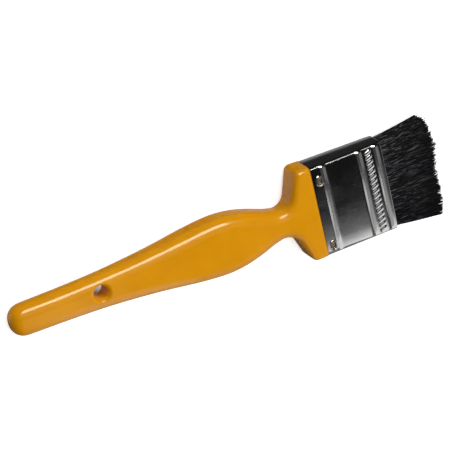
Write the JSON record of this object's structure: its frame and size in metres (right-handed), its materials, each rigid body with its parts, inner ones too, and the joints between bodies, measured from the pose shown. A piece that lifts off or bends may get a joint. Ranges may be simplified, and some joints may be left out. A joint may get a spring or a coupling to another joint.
{
  "type": "bee brush",
  "caption": "Flat bee brush with a lacquered beavertail handle, a beaded metal ferrule and a tuft of black bristles, for moving bees off a comb.",
  "frame": {"origin": "under the middle of the brush, on the surface that its back face lies on", "axes": "+X along the handle towards the bristles, +Y across the brush's width, +Z out of its front face"},
  "size_m": [0.237, 0.0552, 0.0173],
  "materials": {
    "lacquer": "gloss",
    "nickel": "polished",
    "brass": "satin",
    "resin": "satin",
    "wood": "matte",
    "bristle": "satin"
  },
  "bodies": {
    "brush": {"handle": "lacquer", "ferrule": "nickel", "nail_front_upper": "brass", "nail_front_lower": "brass", "nail_back_upper": "brass", "nail_back_lower": "brass", "setting_resin": "resin", "filler_strip": "wood", "bristle_roots_front": "bristle", "bristle_roots_back": "bristle"},
    "tuft": {"bristle_tuft_front": "bristle", "bristle_tuft_back": "bristle"}
  },
  "joints": [
    {"name": "tuft_bend", "type": "hinge", "parent": "brush", "child": "tuft", "pos_m": [0.0892, 0, 0.00866], "axis": [0, 1, 0], "range_deg": [-25, 25], "stiffness_Nm_per_rad": 0.15}
  ]
}
